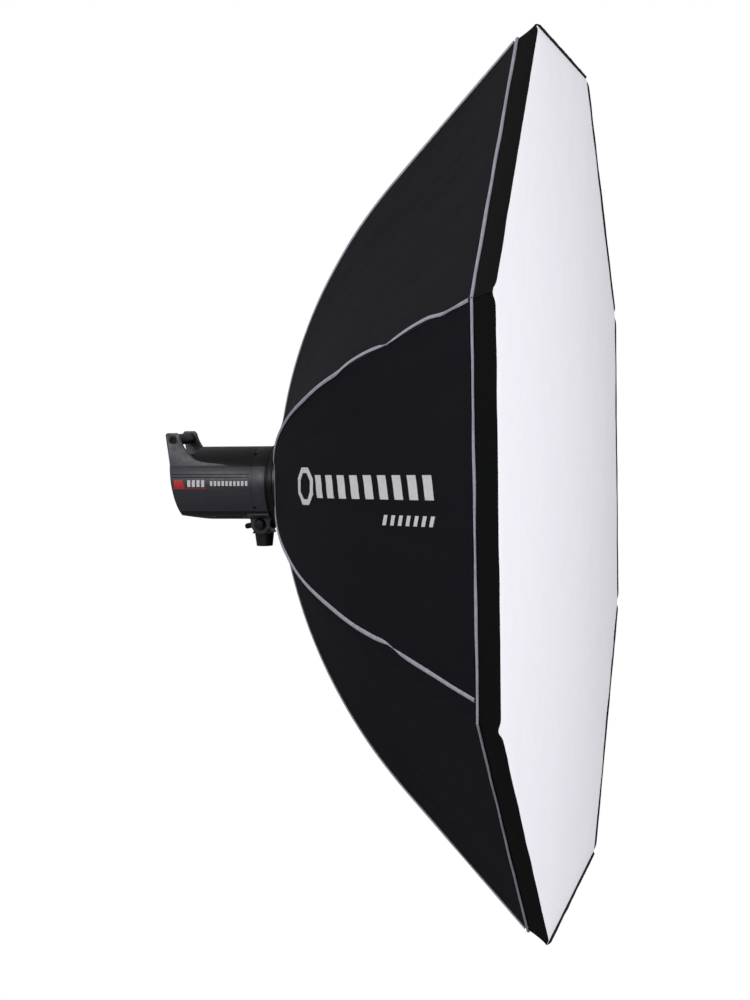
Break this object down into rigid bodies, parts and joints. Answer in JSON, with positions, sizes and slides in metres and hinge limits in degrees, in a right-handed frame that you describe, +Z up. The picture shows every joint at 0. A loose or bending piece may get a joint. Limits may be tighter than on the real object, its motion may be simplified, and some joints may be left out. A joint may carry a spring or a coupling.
{
  "type": "octabox",
  "caption": "Folding eight-sided softbox with a white front diffuser, on a studio flash head with a tilting stand socket.",
  "frame": {"origin": "centre of the stand socket's mouth", "axes": "+Z up, out of the stand; the light points along -Y; +Y is the back of the head"},
  "size_m": [1.6168, 0.7972, 1.6168],
  "materials": {
    "black_nylon": "woven, matt",
    "grey_tape": "woven tape",
    "lip_tape": "ribbed hook-and-loop tape",
    "diffuser_cloth": "fine white nylon",
    "elastic": "woven elastic",
    "black_alloy": "black powder coat",
    "steel": "drawn",
    "black_steel": "black oxide",
    "shell_moulding": "moulded, satin",
    "black_moulding": "moulded, satin",
    "display": "clear window",
    "red_lens": "moulded",
    "grey_rubber": "moulded",
    "quartz": "clear",
    "frosted_glass": "frosted",
    "can_alloy": "drawn",
    "board": "solder resist",
    "ceramic": "fired"
  },
  "bodies": {
    "stand_mount": {"socket_block": "black_alloy", "pivot_bolt": "black_moulding"},
    "spigot_screw": {"spigot_screw": "black_moulding"},
    "tilt_lever": {"tilt_lever": "black_moulding"},
    "flash_head": {"retaining_ring": "black_alloy", "retaining_screws": "steel", "bayonet_insert": "black_alloy", "lamp_carrier": "ceramic", "flash_tube": "quartz", "modelling_lamp": "quartz", "glass_dome": "frosted_glass", "left_shell": "shell_moulding", "right_shell": "shell_moulding", "top_cover": "black_moulding", "base_cover": "black_moulding", "handle_bar": "black_moulding", "handle_screws": "black_steel", "cooling_fan": "black_moulding", "capacitors": "can_alloy", "circuit_board": "board", "rear_panel": "black_moulding", "display_window": "display", "mains_inlet": "black_moulding", "fuse_cap": "black_moulding", "sensor_dome": "red_lens", "fork_brackets": "shell_moulding"},
    "lock_ring": {"lock_ring": "black_moulding"},
    "control_dial": {"control_dial": "grey_rubber"},
    "test_button": {"test_button": "grey_rubber"},
    "mode_button": {"mode_button": "grey_rubber"},
    "power_rocker": {"power_rocker": "black_moulding"},
    "octabox": {"gore_panels": "black_nylon", "rod_piping": "grey_tape", "rim_piping": "grey_tape", "hub_piping": "grey_tape", "lip_band": "lip_tape", "front_diffuser": "diffuser_cloth", "diffuser_hem": "lip_tape", "inner_diffuser": "diffuser_cloth", "diffuser_straps": "elastic", "tip_pockets": "lip_tape", "rear_skirt": "black_nylon", "speedring": "black_alloy", "hinge_pins": "steel"},
    "rod_1": {"rod_1": "steel", "rod_foot_1": "black_alloy"},
    "rod_2": {"rod_2": "steel", "rod_foot_2": "black_alloy"},
    "rod_3": {"rod_3": "steel", "rod_foot_3": "black_alloy"},
    "rod_4": {"rod_4": "steel", "rod_foot_4": "black_alloy"},
    "rod_5": {"rod_5": "steel", "rod_foot_5": "black_alloy"},
    "rod_6": {"rod_6": "steel", "rod_foot_6": "black_alloy"},
    "rod_7": {"rod_7": "steel", "rod_foot_7": "black_alloy"},
    "rod_8": {"rod_8": "steel", "rod_foot_8": "black_alloy"}
  },
  "joints": [
    {"name": "head_tilt", "type": "hinge", "parent": "stand_mount", "child": "flash_head", "pos_m": [0, 0, 0.045], "axis": [-1, 0, 0], "range_deg": [-25, 50]},
    {"name": "lever_turn", "type": "hinge", "parent": "flash_head", "child": "tilt_lever", "pos_m": [0.037, 0, 0.045], "axis": [-1, 0, 0], "range_deg": [0, 40]},
    {"name": "spigot_screw_turn", "type": "hinge", "parent": "stand_mount", "child": "spigot_screw", "pos_m": [0.025, 0, 0.012], "axis": [1, 0, 0], "continuous": true},
    {"name": "octabox_turn", "type": "hinge", "parent": "flash_head", "child": "octabox", "pos_m": [0, -0.06273, 0.128], "axis": [0, 1, 0], "continuous": true},
    {"name": "lock_ring_turn", "type": "hinge", "parent": "flash_head", "child": "lock_ring", "pos_m": [0, -0.0305, 0.128], "axis": [0, 1, 0], "range_deg": [0, 20]},
    {"name": "dial_turn", "type": "hinge", "parent": "flash_head", "child": "control_dial", "pos_m": [-0.028, 0.16754, 0.11811], "axis": [0, 0.9893, -0.1461], "range_deg": [-150, 150]},
    {"name": "test_press", "type": "slide", "parent": "flash_head", "child": "test_button", "axis": [0, -0.9893, 0.1461], "range_m": [0, 0.0015], "stiffness_N_per_m": 400},
    {"name": "mode_press", "type": "slide", "parent": "flash_head", "child": "mode_button", "axis": [0, -0.9893, 0.1461], "range_m": [0, 0.0015], "stiffness_N_per_m": 400},
    {"name": "power_rock", "type": "hinge", "parent": "flash_head", "child": "power_rocker", "pos_m": [-0.024, 0.159, 0.09106], "axis": [-1, 0, 0], "range_deg": [0, 10]},
    {"name": "rod_1_fold", "type": "hinge", "parent": "octabox", "child": "rod_1", "pos_m": [0.0405, -0.06273, 0.22577], "axis": [0.9239, 0, -0.3827], "range_deg": [0, 50], "deforming": ["gore_panels", "rod_piping", "rim_piping", "lip_band", "front_diffuser", "diffuser_hem", "inner_diffuser", "diffuser_straps", "tip_pockets"]},
    {"name": "rod_2_fold", "type": "hinge", "parent": "octabox", "child": "rod_2", "pos_m": [0.09777, -0.06273, 0.1685], "axis": [0.3827, 0, -0.9239], "range_deg": [0, 50]},
    {"name": "rod_3_fold", "type": "hinge", "parent": "octabox", "child": "rod_3", "pos_m": [0.09777, -0.06273, 0.0875], "axis": [-0.3827, 0, -0.9239], "range_deg": [0, 50]},
    {"name": "rod_4_fold", "type": "hinge", "parent": "octabox", "child": "rod_4", "pos_m": [0.0405, -0.06273, 0.03023], "axis": [-0.9239, 0, -0.3827], "range_deg": [0, 50]},
    {"name": "rod_5_fold", "type": "hinge", "parent": "octabox", "child": "rod_5", "pos_m": [-0.0405, -0.06273, 0.03023], "axis": [-0.9239, 0, 0.3827], "range_deg": [0, 50]},
    {"name": "rod_6_fold", "type": "hinge", "parent": "octabox", "child": "rod_6", "pos_m": [-0.09777, -0.06273, 0.0875], "axis": [-0.3827, 0, 0.9239], "range_deg": [0, 50]},
    {"name": "rod_7_fold", "type": "hinge", "parent": "octabox", "child": "rod_7", "pos_m": [-0.09777, -0.06273, 0.1685], "axis": [0.3827, 0, 0.9239], "range_deg": [0, 50]},
    {"name": "rod_8_fold", "type": "hinge", "parent": "octabox", "child": "rod_8", "pos_m": [-0.0405, -0.06273, 0.22577], "axis": [0.9239, 0, 0.3827], "range_deg": [0, 50]}
  ],
  "couplings": [
    {"joint": "rod_2_fold", "follows": "rod_1_fold", "ratio": 1},
    {"joint": "rod_3_fold", "follows": "rod_1_fold", "ratio": 1},
    {"joint": "rod_4_fold", "follows": "rod_1_fold", "ratio": 1},
    {"joint": "rod_5_fold", "follows": "rod_1_fold", "ratio": 1},
    {"joint": "rod_6_fold", "follows": "rod_1_fold", "ratio": 1},
    {"joint": "rod_7_fold", "follows": "rod_1_fold", "ratio": 1},
    {"joint": "rod_8_fold", "follows": "rod_1_fold", "ratio": 1}
  ]
}
